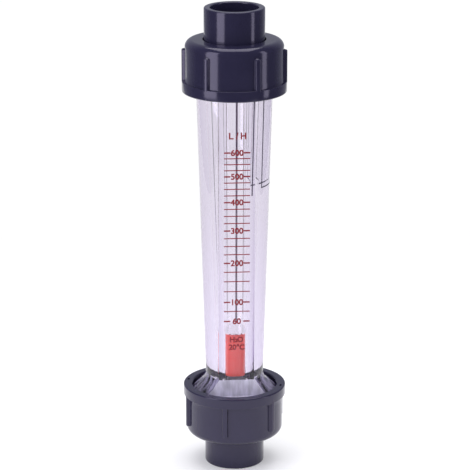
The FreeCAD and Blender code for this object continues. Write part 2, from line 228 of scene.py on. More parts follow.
def metering_tube_mesh(materials):
    bm = bmesh.new()
    outside = []
    for end, sign in ((FOOT, 1), (HEAD, -1)):
        collar = []
        for along in steps(0, THREAD_LENGTH, 48):
            def reach(angle, along=along, sign=sign):
                depth = thread_height(sign * angle / (2 * math.pi), along)
                return THREAD_ROOT + (THREAD_CREST - THREAD_ROOT) * depth
            collar.append(outside_ring(THREAD_ROOT, end + sign * along, thread=reach))
        collar.append(outside_ring(COLLAR, end + sign * THREAD_LENGTH))
        collar.append(outside_ring(COLLAR, end + sign * (FLARE_FOOT - FOOT)))
        outside.append(collar)
    lower_collar, upper_collar = outside[0], outside[1][::-1]
    middle = []
    for radius, z in flare_profile():
        middle.append(outside_ring(radius, z, strip_front(z),
                                   spread=FACET_SPREAD * (FLARE_TOP - z)))
    for z in steps(FLARE_TOP, UPPER_FLARE, 40)[1:]:
        middle.append(outside_ring(strip_front(z) - STRIP_PROUD, z, strip_front(z)))
    rings = [ring_of(bm, points) for points in lower_collar + middle + upper_collar]
    for ring, next_ring in zip(rings, rings[1:]):
        low, high = ring[0].co.z, next_ring[0].co.z
        if low > FLARE_FOOT - LEVEL and high < FLARE_TOP + LEVEL:
            join_rings(bm, ring, next_ring, lambda at: FACET if at > ROUND_STEPS else FLARE)
        else:
            join_rings(bm, ring, next_ring)

    bore_foot, bore_head = FOOT + BORE_START, HEAD - BORE_END
    bore = [(SEAT, FOOT, False), (SEAT, FOOT + SEAT_DEPTH, False), (WELL, FOOT + SEAT_DEPTH, False),
            (WELL, FOOT + WELL_DEPTH, False)]
    guide_foot = bore_foot + (bore_head - bore_foot) * (GUIDE - BORE_LOW) / (BORE_HIGH - BORE_LOW)
    for z in steps(bore_foot, guide_foot, 6) + steps(guide_foot, bore_head, 40)[1:]:
        radius = BORE_LOW + (BORE_HIGH - BORE_LOW) * (z - bore_foot) / (bore_head - bore_foot)
        bore.append((radius, z, z > guide_foot))
    bore += [(BORE_HIGH, bore_head, False), (BORE_HIGH, HEAD - SEAT_DEPTH, False),
             (SEAT, HEAD - SEAT_DEPTH, False), (SEAT, HEAD, False)]
    inner = [ring_of(bm, inside_ring(*station)) for station in bore]
    per_guide = len(inner[0]) // 3
    # Higher up, one flank of each guide rib gets the grey painted shade material, in slot EDGE.
    for at, (ring, next_ring) in enumerate(zip(inner, inner[1:])):
        ribbed = bore[at][2] and bore[at + 1][2] and bore[at][1] > RIB_SHADE_FOOT
        join_rings(bm, next_ring, ring, lambda at, ribbed=ribbed:
                   EDGE if ribbed and at % per_guide == 1 else CLEAR)
    bm.edges.ensure_lookup_table()
    for outer_end, inner_end in ((rings[0], inner[0]), (rings[-1], inner[-1])):
        loops = []
        for ring in (outer_end, inner_end):
            for at, vertex in enumerate(ring):
                edge = bm.edges.get((vertex, ring[(at + 1) % len(ring)]))
                if edge is not None:
                    loops.append(edge)
        bmesh.ops.bridge_loops(bm, edges=loops)
    return finish_piece(bm, "clear_metering_tube", 28, materials)


def clear_san(name, tint, density, roughness):
    """Polished clear moulding: glassy, barely lilac in its depth, with a faint flow ripple."""
    material, tree = new_material(name)
    place = add_node(tree, "ShaderNodeTexCoord")
    stretch = add_node(tree, "ShaderNodeMapping", {"Vector": place.outputs["Object"]})
    stretch.inputs["Scale"].default_value = (1.0, 1.0, 0.08)
    ripple = add_node(tree, "ShaderNodeTexNoise",
                      {"Vector": stretch.outputs["Vector"], "Scale": 1 / (6 * MM), "Detail": 1.0})
    bump = add_node(tree, "ShaderNodeBump", {"Height": ripple.outputs["Fac"],
                                             "Strength": 0.06, "Distance": 0.2 * MM})
    glass = add_node(tree, "ShaderNodeBsdfPrincipled", {
        "Base Color": (1, 1, 1, 1), "Roughness": roughness, "IOR": 1.57,
        "Transmission Weight": 1.0, "Normal": bump.outputs["Normal"]})
    path = add_node(tree, "ShaderNodeLightPath")
    window = add_node(tree, "ShaderNodeBsdfTransparent", {"Color": (0.93, 0.92, 0.96, 1)})
    mixed = add_node(tree, "ShaderNodeMixShader", {0: path.outputs["Is Shadow Ray"],
                                                   1: glass.outputs[0], 2: window.outputs[0]})
    depth = add_node(tree, "ShaderNodeVolumeAbsorption", {"Color": linear(tint),
                                                          "Density": density})
    add_node(tree, "ShaderNodeOutputMaterial", {"Surface": mixed.outputs[0],
                                                "Volume": depth.outputs[0]})
    return material


def spark_eroded_rib(name):
    """A guide rib's flank in a half-clear grey: painted shade standing in for the dark line that
    the clear rib shows seen edge-on.
    """
    material, tree = new_material(name)
    place = add_node(tree, "ShaderNodeTexCoord")
    grain = add_node(tree, "ShaderNodeTexNoise", {"Vector": place.outputs["Object"],
                                                  "Scale": 1 / (0.4 * MM), "Detail": 2.0})
    bump = add_node(tree, "ShaderNodeBump", {"Height": grain.outputs["Fac"], "Strength": 0.4,
                                             "Distance": 0.02 * MM})
    shell = add_node(tree, "ShaderNodeBsdfPrincipled", {
        "Base Color": linear("#6C6262"), "Roughness": 0.55, "IOR": 1.57,
        "Transmission Weight": 0.55, "Normal": bump.outputs["Normal"]})
    add_node(tree, "ShaderNodeOutputMaterial", {"Surface": shell.outputs[0]})
    return material


def frosted_flare(name, tint, density, least, most, colour):
    """Clear plastic mixed in streaks with a lit lilac diffuse layer: painted light standing in for
    the reflections and bent light that the clear flare shows.
    """
    material, tree = new_material(name)
    place = add_node(tree, "ShaderNodeTexCoord")
    level = add_node(tree, "ShaderNodeVectorMath", {0: place.outputs["Object"], 1: (1, 1, 0)},
                     operation="MULTIPLY")
    around = add_node(tree, "ShaderNodeVectorMath", {0: level.outputs[0]}, operation="NORMALIZE")
    along = add_node(tree, "ShaderNodeVectorMath", {0: place.outputs["Object"],
                                                    1: (0, 0, 1 / (60 * MM))},
                     operation="MULTIPLY")
    spread = add_node(tree, "ShaderNodeVectorMath", {0: around.outputs[0], 1: along.outputs[0]})
    streak = add_node(tree, "ShaderNodeTexNoise", {"Vector": spread.outputs[0], "Scale": 7.0,
                                                   "Detail": 3.0})
    light_share = add_node(tree, "ShaderNodeMapRange", {"Value": streak.outputs["Fac"], "From Min": 0.38,
                                                 "From Max": 0.66, "To Min": least, "To Max": most})
    lit_layer = add_node(tree, "ShaderNodeBsdfDiffuse", {"Color": linear(colour)})
    glass = add_node(tree, "ShaderNodeBsdfPrincipled", {
        "Base Color": (1, 1, 1, 1), "Roughness": 0.08, "IOR": 1.57, "Transmission Weight": 1.0})
    both = add_node(tree, "ShaderNodeMixShader", {0: light_share.outputs[0], 1: glass.outputs[0],
                                                  2: lit_layer.outputs[0]})
    path = add_node(tree, "ShaderNodeLightPath")
    window = add_node(tree, "ShaderNodeBsdfTransparent", {"Color": (0.93, 0.92, 0.96, 1)})
    mixed = add_node(tree, "ShaderNodeMixShader", {0: path.outputs["Is Shadow Ray"],
                                                   1: both.outputs[0], 2: window.outputs[0]})
    depth = add_node(tree, "ShaderNodeVolumeAbsorption", {"Color": linear(tint),
                                                          "Density": density})
    add_node(tree, "ShaderNodeOutputMaterial", {"Surface": mixed.outputs[0],
                                                "Volume": depth.outputs[0]})
    return material


TUBE_TINT = "#AE93CA"
TUBE_DENSITY = 52.0
tube_material = clear_san("clear moulded styrene-acrylonitrile", TUBE_TINT, TUBE_DENSITY, 0.0)
# Grey painted shade for the guide ribs' dark line.
rib_shade_material = spark_eroded_rib("guide rib flank with painted shade")
# Painted light: the facet's mostly diffuse pale layer stands in for the bright cavity seen through
# it.
facet_light_material = frosted_flare("gate facet with painted light", TUBE_TINT, TUBE_DENSITY, 0.55, 0.85, "#DAD6E8")
# Painted reflections: the flare's diffuse streaks stand in for lamps reflected and bent in it.
flare_light_material = frosted_flare("flare with painted light streaks", TUBE_TINT, TUBE_DENSITY, 0.0, 0.55, "#B9B2D2")
tube = metering_tube_mesh([tube_material, rib_shade_material, facet_light_material, flare_light_material])
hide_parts("metering_tube")
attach(tube, "tube")

# Scale print.
# Dark red ink hot-stamped on the flat strip: a number at 60 and at each hundred litres an hour,
# small ticks at 80 and at every 25 from 125 up, the unit above and the test liquid below. Each
# word is four copies a little apart, which makes it bold; each copy lies just over the last.
INK_LIFT = 0.02 * MM
INK_THICK = 0.03 * MM
TICK_HALF = 5.45 * MM
TICK_WEIGHT = 0.62 * MM
MINOR_WEIGHT = 0.42 * MM
NUMBER_GAP = 2.75 * MM
NUMBER_HEIGHT = 2.55 * MM
SPREAD = 0.10 * MM
COPY_LIFT = 0.006 * MM
CAPITAL_SHARE = 0.72
SCALE_FOOT = 24.77 * MM
SCALE_RISE = 3.577 * MM
SCALE_OFFSET = 40
SCALE_POWER = 0.54
UNIT_HEIGHT = 2.8 * MM
UNIT_Z = 149.2 * MM
LIQUID_HEIGHT = 2.3 * MM
LIQUID_Z = 59.5 * MM
WARMTH_Z = 56.1 * MM
DIGIT_HEIGHT = 1.5 * MM
DIGIT_Z = 59.1 * MM


def stamping_ink(name, colour):
    """Hot-stamping foil: thin, satin and slightly uneven in its cover."""
    material, tree = new_material(name)
    place = add_node(tree, "ShaderNodeTexCoord")
    cover = add_node(tree, "ShaderNodeTexNoise", {"Vector": place.outputs["Object"],
                                                  "Scale": 1 / (0.5 * MM), "Detail": 3.0})
    shade = add_node(tree, "ShaderNodeValToRGB", {"Fac": cover.outputs["Fac"]})
    shade.color_ramp.elements[0].color = linear(colour[0])
    shade.color_ramp.elements[1].color = linear(colour[1])
    shell = add_node(tree, "ShaderNodeBsdfPrincipled",
                     {"Base Color": shade.outputs["Color"], "Roughness": 0.45})
    add_node(tree, "ShaderNodeOutputMaterial", {"Surface": shell.outputs[0]})
    return material


ink = stamping_ink("dark red stamping foil", ("#7A101C", "#961E28"))


def on_strip(x, z, lift):
    return Vector((x, -(strip_front(z) + lift), z))


def flow_height(flow):
    """Where a flow in litres an hour is read: the bore widens, so the rise per litre shrinks."""
    return SCALE_FOOT + SCALE_RISE * (flow + SCALE_OFFSET) ** SCALE_POWER


def stamped_text(words, height, centre_x, centre_z, stretch, lift):
    """Letters as a mesh, bent on to the leaning strip, with their front face proud of it."""
    curve = bpy.data.curves.new("letters", "FONT")
    curve.body = words
    curve.align_x = "CENTER"
    curve.align_y = "CENTER"
    curve.size = height / CAPITAL_SHARE
    curve.extrude = INK_THICK / 2
    holder = bpy.data.objects.new("letters", curve)
    scene.collection.objects.link(holder)
    bpy.context.view_layer.update()
    seen = holder.evaluated_get(bpy.context.evaluated_depsgraph_get())
    mesh = bpy.data.meshes.new_from_object(seen)
    bpy.data.objects.remove(holder)
    low = min(v.co.y for v in mesh.vertices)
    high = max(v.co.y for v in mesh.vertices)
    for vertex in mesh.vertices:
        x, y, out = vertex.co
        vertex.co = on_strip(centre_x + x * stretch, centre_z + y - (low + high) / 2,
                             INK_LIFT + lift + INK_THICK / 2 + out)
    return mesh


def tick_tree(material):
    """Geometry Nodes: a bar at every point, as long and as heavy as the point's attributes say."""
    tree = bpy.data.node_groups.new("scale ticks", "GeometryNodeTree")
    tree.interface.new_socket("Points", in_out="INPUT", socket_type="NodeSocketGeometry")
    thick = tree.interface.new_socket("Ink thickness", in_out="INPUT",
                                      socket_type="NodeSocketFloat")
    tree.interface.new_socket("Ticks", in_out="OUTPUT", socket_type="NodeSocketGeometry")
    entry = add_node(tree, "NodeGroupInput")
    bar = add_node(tree, "GeometryNodeMeshCube", {"Size": (1, 1, 1)})
    length = add_node(tree, "GeometryNodeInputNamedAttribute", {"Name": "length"},
                      data_type="FLOAT")
    weight = add_node(tree, "GeometryNodeInputNamedAttribute", {"Name": "weight"},
                      data_type="FLOAT")
    shape = add_node(tree, "ShaderNodeCombineXYZ", {"X": length.outputs[0],
                                                    "Y": entry.outputs["Ink thickness"],
                                                    "Z": weight.outputs[0]})
    laid = add_node(tree, "GeometryNodeInstanceOnPoints", {
        "Points": entry.outputs["Points"], "Instance": bar.outputs["Mesh"],
        "Scale": shape.outputs[0]})
    real = add_node(tree, "GeometryNodeRealizeInstances", {"Geometry": laid.outputs[0]})
    inked = add_node(tree, "GeometryNodeSetMaterial", {"Geometry": real.outputs[0],
                                                       "Material": material})
    add_node(tree, "NodeGroupOutput", {"Ticks": inked.outputs[0]})
    return tree, thick.identifier


def point_cloud(points, attributes):
    """Loose points that carry numbers for a Geometry Nodes tree to read."""
    cloud = bpy.data.meshes.new("points")
    cloud.from_pydata(points, [], [])
    for key, numbers in attributes.items():
        layer = cloud.attributes.new(key, "FLOAT", "POINT")
        layer.data.foreach_set("value", numbers)
    return cloud


def run_tree(source, tree, values):
    """Runs a Geometry Nodes tree on a mesh and keeps the result as a plain mesh."""
    holder = bpy.data.objects.new("holder", source)
    scene.collection.objects.link(holder)
    modifier = holder.modifiers.new("rule", "NODES")
    modifier.node_group = tree
    for identifier, value in values.items():
        modifier[identifier] = value
    bpy.context.view_layer.update()
    seen = holder.evaluated_get(bpy.context.evaluated_depsgraph_get())
    mesh = bpy.data.meshes.new_from_object(seen)
    holder.modifiers.clear()
    bpy.data.objects.remove(holder)
    return mesh


ticks = []
numbered = [60] + list(range(100, 601, 100))
for flow in [80] + [f for f in range(125, 600, 25) if f % 100]:
    ticks.append((0, flow_height(flow), 2 * TICK_HALF, MINOR_WEIGHT))
for flow in numbered:
    dash = TICK_HALF - NUMBER_GAP
    for side in (-1, 1):
        ticks.append((side * (NUMBER_GAP + dash / 2), flow_height(flow), dash, TICK_WEIGHT))
tick_rule, thick_input = tick_tree(ink)
spots = point_cloud([on_strip(x, z, INK_LIFT + INK_THICK / 2) for x, z, _, _ in ticks],
                    {"length": [t[2] for t in ticks], "weight": [t[3] for t in ticks]})
prints = [run_tree(spots, tick_rule, {thick_input: INK_THICK})]
letters = [(str(flow), NUMBER_HEIGHT, 0, flow_height(flow), 1.0) for flow in numbered]
letters += [("L", UNIT_HEIGHT, -2.6 * MM, UNIT_Z, 1.1),
            ("/", UNIT_HEIGHT, 0, UNIT_Z, 0.8),
            ("H", UNIT_HEIGHT, 2.6 * MM, UNIT_Z, 0.92),
            ("H", LIQUID_HEIGHT, -1.9 * MM, LIQUID_Z, 1.0),
            ("2", DIGIT_HEIGHT, -0.2 * MM, DIGIT_Z, 1.0),
            ("O", LIQUID_HEIGHT, 1.5 * MM, LIQUID_Z, 1.0),
            ("20°C", LIQUID_HEIGHT, 0, WARMTH_Z, 1.0)]
for words, height, x, z, stretch in letters:
    for copy, (right, up) in enumerate(((-1, -1), (-1, 1), (1, -1), (1, 1))):
        prints.append(stamped_text(words, height, x + right * SPREAD, z + up * SPREAD, stretch,
                                   copy * COPY_LIFT))


def join_meshes(name, meshes, material):
    """Gathers the print's meshes into one flat-shaded piece."""
    bm = bmesh.new()
    for mesh in meshes:
        bm.from_mesh(mesh)
        bpy.data.meshes.remove(mesh)
    for face in bm.faces:
        face.material_index = 0
        face.smooth = False
    mesh = bpy.data.meshes.new(name)
    bm.to_mesh(mesh)
    bm.free()
    mesh.materials.append(material)
    piece = bpy.data.objects.new(name, mesh)
    scene.collection.objects.link(piece)
    return piece


scale_print = join_meshes("scale_print", prints, ink)
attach(scale_print, "tube")

# Film label.
# A clear polyester film stuck round the tube's right side, bare inside a thin dark printed border.
# Its straight edges follow the cone, so it hangs slightly askew at its foot. A dark line painted up
# the strip beside it is painted shade, for the dark line that light bent in the clear tube shows
# there.
FILM_LIFT = 0.03 * MM
FILM_FRONT = math.radians(44.3)
FILM_BACK = math.radians(114.8)
FILM_FOOT = 125.2 * MM
FILM_HEAD = UPPER_FLARE - 0.3 * MM
BORDER = 0.6 * MM
SHADE_LINE_FOOT = 6.25 * MM
SHADE_LINE_HEAD = 7.05 * MM
SHADE_LINE_HALF = 0.25 * MM
SHADE_LINE_START = FILM_FOOT - 2.0 * MM


def on_cone(angle, z, lift):
    reach = strip_front(z) - STRIP_PROUD + lift
    return Vector((reach * math.sin(angle), -reach * math.cos(angle), z))


def cone_patch(bm, first, last, foot, head, lift, across=48, up=12):
    """A patch of the cone's surface between two angles and two heights, lifted off it."""
    rows = [[bm.verts.new(on_cone(angle, z, lift)) for angle in steps(first, last, across)]
            for z in steps(foot, head, up)]
    for row, next_row in zip(rows, rows[1:]):
        for at in range(across):
            bm.faces.new((row[at], row[at + 1], next_row[at + 1], next_row[at]))


def printed_border(name):
    """Screen-printed ink: dark grey-violet, satin, slightly uneven in its cover; it also draws the
    painted shade line.
    """
    material, tree = new_material(name)
    place = add_node(tree, "ShaderNodeTexCoord")
    cover = add_node(tree, "ShaderNodeTexNoise", {"Vector": place.outputs["Object"],
                                                  "Scale": 1 / (0.6 * MM), "Detail": 2.0})
    shade = add_node(tree, "ShaderNodeValToRGB", {"Fac": cover.outputs["Fac"]})
    shade.color_ramp.elements[0].color = linear("#3A3446")
    shade.color_ramp.elements[1].color = linear("#4C4558")
    shell = add_node(tree, "ShaderNodeBsdfPrincipled", {"Base Color": shade.outputs["Color"],
                                                        "Roughness": 0.35})
    add_node(tree, "ShaderNodeOutputMaterial", {"Surface": shell.outputs[0]})
    return material


def polyester_film(name):
    """Very thin clear film: it only greys what is behind it and shines a little."""
    material, tree = new_material(name)
    place = add_node(tree, "ShaderNodeTexCoord")
    haze = add_node(tree, "ShaderNodeTexNoise", {"Vector": place.outputs["Object"],
                                                 "Scale": 1 / (2.5 * MM), "Detail": 3.0})
    share = add_node(tree, "ShaderNodeMapRange", {"Value": haze.outputs["Fac"],
                                                  "To Min": 0.03, "To Max": 0.12})
    clear = add_node(tree, "ShaderNodeBsdfTransparent")
    milky = add_node(tree, "ShaderNodeBsdfPrincipled", {"Base Color": linear("#D8D4E4"),
                                                        "Roughness": 0.2})
    mixed = add_node(tree, "ShaderNodeMixShader", {0: share.outputs[0], 1: clear.outputs[0],
                                                   2: milky.outputs[0]})
    add_node(tree, "ShaderNodeOutputMaterial", {"Surface": mixed.outputs[0]})
    return material


edge_turn = BORDER / (strip_front(FILM_FOOT) - STRIP_PROUD)
bm = bmesh.new()
cone_patch(bm, FILM_FRONT, FILM_FRONT + edge_turn, FILM_FOOT, FILM_HEAD, FILM_LIFT, across=4)
cone_patch(bm, FILM_BACK - edge_turn, FILM_BACK, FILM_FOOT, FILM_HEAD, FILM_LIFT, across=4)
cone_patch(bm, FILM_FRONT + edge_turn, FILM_BACK - edge_turn, FILM_FOOT, FILM_FOOT + BORDER,
           FILM_LIFT, up=1)
# The dark line up the strip is painted shade in the border's ink, not print.
corners = [on_strip(x, z, FILM_LIFT) for x, z in (
    (SHADE_LINE_FOOT - SHADE_LINE_HALF, SHADE_LINE_START), (SHADE_LINE_FOOT + SHADE_LINE_HALF, SHADE_LINE_START),
    (SHADE_LINE_HEAD + SHADE_LINE_HALF, FILM_HEAD), (SHADE_LINE_HEAD - SHADE_LINE_HALF, FILM_HEAD))]
bm.faces.new([bm.verts.new(corner) for corner in corners])
border = finish_piece(bm, "film_border_and_shade_line", 60, [printed_border("dark printed border and painted shade line")],
                      outward=False)
bm = bmesh.new()
cone_patch(bm, FILM_FRONT + edge_turn, FILM_BACK - edge_turn, FILM_FOOT + BORDER, FILM_HEAD,
           FILM_LIFT)
film = finish_piece(bm, "film_label", 60, [polyester_film("clear polyester film")], outward=False)
for piece in (border, film):
    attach(piece, "tube")

# Float.
# A red moulded sleeve on a turned steel insert, with a welded red plug at its foot. The insert's
# head is the widest part, and its sharp rim is the edge that is read against the scale.
float_low, float_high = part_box("float_body")
head_foot = float_high.z
head_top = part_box("float_weight")[1].z
FLOAT_RADIUS = 6.95 * MM
FLOAT_RIM = 7.4 * MM
FLOAT_HOLE = 5.3 * MM
FLOAT_PLUG = 1.6 * MM
SOFT = 0.25 * MM
RIM_EDGE = 0.05 * MM


def turned_piece(name, profile, materials, sharp_degrees=28, segments=128, reach=None):
    """Turns a closed (radius, height) profile about Z; reach may vary the radius round it.

    A profile that starts and ends on the axis is closed there by one point at each end.
    """
    bm = bmesh.new()
    rings = []
    for at, (radius, z) in enumerate(profile):
        ring = []
        for turn in range(segments):
            angle = 2 * math.pi * turn / segments
            r = radius if reach is None else reach(at, radius, z, angle)
            ring.append(bm.verts.new((r * math.sin(angle), -r * math.cos(angle), z)))
        rings.append(ring)
    on_axis = profile[0][0] == 0
    for ring, next_ring in zip(rings, rings[1:] if on_axis else rings[1:] + rings[:1]):
        join_rings(bm, ring, next_ring)
    if on_axis:
        bmesh.ops.remove_doubles(bm, verts=rings[0] + rings[-1], dist=0.001 * MM)
    return finish_piece(bm, name, sharp_degrees, materials)


def red_float_plastic(name):
    """Moulded red polyacetal: bright, satin, a little light getting into it."""
    material, tree = new_material(name)
    place = add_node(tree, "ShaderNodeTexCoord")
    cloud = add_node(tree, "ShaderNodeTexNoise", {"Vector": place.outputs["Object"],
                                                  "Scale": 1 / (5 * MM), "Detail": 3.0})
    shade = add_node(tree, "ShaderNodeValToRGB", {"Fac": cloud.outputs["Fac"]})
    shade.color_ramp.elements[0].color = linear("#F84436")
    shade.color_ramp.elements[1].color = linear("#FC5042")
    shell = add_node(tree, "ShaderNodeBsdfPrincipled", {
        "Base Color": shade.outputs["Color"], "Roughness": 0.32, "IOR": 1.48,
        "Subsurface Weight": 0.3, "Subsurface Scale": 1.0 * MM,
        "Subsurface Radius": (1.0, 0.3, 0.2)})
    add_node(tree, "ShaderNodeOutputMaterial", {"Surface": shell.outputs[0]})
    return material


red_plastic = red_float_plastic("moulded red polyacetal")
float_profile = [(FLOAT_HOLE, head_foot), (FLOAT_RADIUS, head_foot),
                 (FLOAT_RADIUS, float_low.z + SOFT), (FLOAT_RADIUS - SOFT, float_low.z),
                 (FLOAT_HOLE, float_low.z)]
float_piece = turned_piece("red_float_sleeve", float_profile, [red_plastic])
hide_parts("float_body")
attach(float_piece, "float")


def smooth_node(name, material):
    """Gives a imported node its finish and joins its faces, with its shape left as it is."""
    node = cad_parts[name]
    node.data.materials.clear()
    node.data.materials.append(material)
    weld = node.modifiers.new("weld", "WELD")
    weld.merge_threshold = 0.001 * MM
    return node


def turned_steel(name):
    """Stainless steel off the lathe: bright, mirror-like, with faint level tool lines."""
    material, tree = new_material(name)
    place = add_node(tree, "ShaderNodeTexCoord")
    lines = add_node(tree, "ShaderNodeTexWave", {"Vector": place.outputs["Object"],
                                                 "Scale": 1 / (4 * MM), "Distortion": 0.5},
                     bands_direction="Z")
    bump = add_node(tree, "ShaderNodeBump", {"Height": lines.outputs["Fac"], "Strength": 0.3,
                                             "Distance": 0.01 * MM})
    shell = add_node(tree, "ShaderNodeBsdfPrincipled", {
        "Base Color": linear("#FBFAFD"), "Metallic": 1.0, "Roughness": 0.05,
        "Normal": bump.outputs["Normal"]})
    add_node(tree, "ShaderNodeOutputMaterial", {"Surface": shell.outputs[0]})
    return material


weight_profile = [(0, head_top), (FLOAT_RIM - RIM_EDGE, head_top),
                  (FLOAT_RIM, head_top - RIM_EDGE), (FLOAT_RIM, head_foot),
                  (FLOAT_HOLE, head_foot), (FLOAT_HOLE, float_low.z + FLOAT_PLUG),
                  (0, float_low.z + FLOAT_PLUG)]
weight = turned_piece("steel_weight", weight_profile, [turned_steel("turned stainless steel")])
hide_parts("float_weight")
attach(weight, "float")
smooth_node("float_plug", red_plastic)

# Float stops.
# A natural, slightly milky moulding pressed into each end of the tube: a ring and three vanes that
# meet in a tip. The lower one holds the float up out of the flare, the upper one ends its rise.


def natural_plastic(name):
    """Undyed moulded polypropylene: milky, half clear and satin."""
    material, tree = new_material(name)
    place = add_node(tree, "ShaderNodeTexCoord")
    haze = add_node(tree, "ShaderNodeTexNoise", {"Vector": place.outputs["Object"],
                                                 "Scale": 1 / (3 * MM), "Detail": 2.0})
    shade = add_node(tree, "ShaderNodeValToRGB", {"Fac": haze.outputs["Fac"]})
    shade.color_ramp.elements[0].color = linear("#C9C6D2")
    shade.color_ramp.elements[1].color = linear("#DBD8E4")
    shell = add_node(tree, "ShaderNodeBsdfPrincipled", {
        "Base Color": shade.outputs["Color"], "Roughness": 0.25, "IOR": 1.5,
        "Transmission Weight": 0.6})
    add_node(tree, "ShaderNodeOutputMaterial", {"Surface": shell.outputs[0]})
    return material


stop_plastic = natural_plastic("natural moulded polypropylene")
for stop in ("lower_float_stop", "upper_float_stop"):
    smooth_node(stop, stop_plastic)

# Union nuts and socket ends.
# Charcoal unplasticised PVC fittings, injection moulded and glossy. Each nut is a shell with an
# internal thread, a thick ring at its mouth and six grip ribs that end on the ring.


def charcoal_pvc(name):
    """Moulded PVC: near black with a violet cast, glossy, with a fine orange-peel skin."""
    material, tree = new_material(name)
    place = add_node(tree, "ShaderNodeTexCoord")
    peel = add_node(tree, "ShaderNodeTexNoise", {"Vector": place.outputs["Object"],
                                                 "Scale": 1 / (1.2 * MM), "Detail": 2.0})
    bump = add_node(tree, "ShaderNodeBump", {"Height": peel.outputs["Fac"], "Strength": 0.05,
                                             "Distance": 0.05 * MM})
    cloud = add_node(tree, "ShaderNodeTexNoise", {"Vector": place.outputs["Object"],
                                                  "Scale": 1 / (12 * MM), "Detail": 4.0})
    shade = add_node(tree, "ShaderNodeValToRGB", {"Fac": cloud.outputs["Fac"]})
    shade.color_ramp.elements[0].color = linear("#211F34")
    shade.color_ramp.elements[1].color = linear("#29273D")
    dull = add_node(tree, "ShaderNodeMapRange", {"Value": cloud.outputs["Fac"],
                                                 "To Min": 0.11, "To Max": 0.17})
    shell = add_node(tree, "ShaderNodeBsdfPrincipled", {
        "Base Color": shade.outputs["Color"], "Roughness": dull.outputs[0], "IOR": 1.53,
        "Specular Tint": (0.88, 0.83, 1.0, 1), "Normal": bump.outputs["Normal"]})
    add_node(tree, "ShaderNodeOutputMaterial", {"Surface": shell.outputs[0]})
    return material


NUT_RADIUS = 20.6 * MM
NUT_SHOULDER = 3.2 * MM
NUT_HOLE = 13.25 * MM
NUT_LIP = 4.0 * MM
NUT_BORE = 18.1 * MM
NUT_CHAMFER = 0.4 * MM
NUT_THREAD = 1.4 * MM
NUT_THREAD_END = THREAD_LENGTH - 0.3 * MM
NUT_THREAD_START = 4.6 * MM
CREST_REACH = 0.30
FLANK_WIDTH = 0.21
RING_RADIUS = 21.9 * MM
RING_HEIGHT = 4.5 * MM
RING_ROUND = 0.5 * MM
RIB_COUNT = 6
RIB_HALF = 1.7 * MM
RIB_TIP = 2.0 * MM
RIB_END = 4.6 * MM
RIB_TOP = 21.95 * MM
RIB_ROOT = 19.0 * MM
RIB_DRAFT = math.radians(14)
RIB_EDGE = 0.55 * MM
GATE_LONG = 2.0 * MM
GATE_WIDE = 0.8 * MM
GATE_DEEP = 1.0 * MM
NUT_TURN = {"lower": math.radians(-15.2), "upper": math.radians(22.8)}


def nut_shell(side):
    """Shell, ring and internal thread of a nut, turned about Z where the nut stands at rest."""
    low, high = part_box(f"{side}_union_nut")
    closed, sign, collar_end = (low.z, 1, FOOT) if side == "lower" else (high.z, -1, HEAD)
    height = high.z - low.z
    ring_foot = height - RING_HEIGHT
    half = RING_ROUND * 0.6
    profile = [(NUT_HOLE, NUT_LIP), (NUT_HOLE, 0)]
    profile += arc_points((NUT_RADIUS - NUT_SHOULDER, 0), (NUT_RADIUS, NUT_SHOULDER),
                          NUT_SHOULDER, 16)
    profile += [(NUT_RADIUS, z) for z in steps(NUT_SHOULDER, ring_foot - half, 6)[1:]]
    profile += [(NUT_RADIUS + half * 0.4, ring_foot - half * 0.2)]
    profile += arc_points((RING_RADIUS - half, ring_foot), (RING_RADIUS, ring_foot + half), half, 6)
    profile += arc_points((RING_RADIUS, height - RING_ROUND), (RING_RADIUS - RING_ROUND, height),
                          RING_ROUND, 8)
    profile.append((NUT_BORE + NUT_CHAMFER, height))
    first = len(profile)
    profile += [(NUT_BORE, z) for z in steps(height - NUT_CHAMFER, NUT_LIP, 120)]

    def reach(at, radius, z, angle):
        if at < first or radius != NUT_BORE:
            return radius
        along = (z - collar_end) * sign
        phase = (along / THREAD_LEAD - sign * angle / (2 * math.pi)) % 1.0
        ridge = max(0.0, min(1.0, (CREST_REACH - min(phase, 1 - phase)) / FLANK_WIDTH))
        inside = (z - closed) * sign
        run_out = max(0.0, min(1.0, (NUT_THREAD_END - along) / THREAD_RUN_OUT,
                               (inside - NUT_LIP - NUT_THREAD_START) / THREAD_RUN_OUT))
        return radius - NUT_THREAD * ridge * run_out

    placed = [(radius, closed + sign * z) for radius, z in profile]
    shell = turned_piece(f"{side}_nut_shell", placed, [pvc], segments=192, reach=reach)
    for turn in (-math.pi / 2, math.pi / 2):
        angle = NUT_TURN[side] + turn
        middle = (NUT_BORE + NUT_CHAMFER + RING_RADIUS) / 2
        bm = bmesh.new()
        bmesh.ops.create_cube(bm, size=1.0)
        for vertex in bm.verts:
            vertex.co = (Matrix.Translation((middle * math.sin(angle), -middle * math.cos(angle),
                                             closed + sign * height))
                         @ Matrix.Rotation(angle, 4, "Z")
                         @ Vector((vertex.co.x * GATE_LONG, vertex.co.y * GATE_WIDE,
                                   vertex.co.z * GATE_DEEP)))
        mesh = bpy.data.meshes.new("gate mark")
        bm.to_mesh(mesh)
        bm.free()
        cutter = bpy.data.objects.new("gate mark", mesh)
        scene.collection.objects.link(cutter)
        cut = shell.modifiers.new("gate mark", "BOOLEAN")
        cut.operation = "DIFFERENCE"
        cut.solver = "EXACT"
        cut.object = cutter
        bpy.context.view_layer.update()
        seen = shell.evaluated_get(bpy.context.evaluated_depsgraph_get())
        shell.data = bpy.data.meshes.new_from_object(seen)
        shell.modifiers.clear()
        bpy.data.objects.remove(cutter)
    return shell


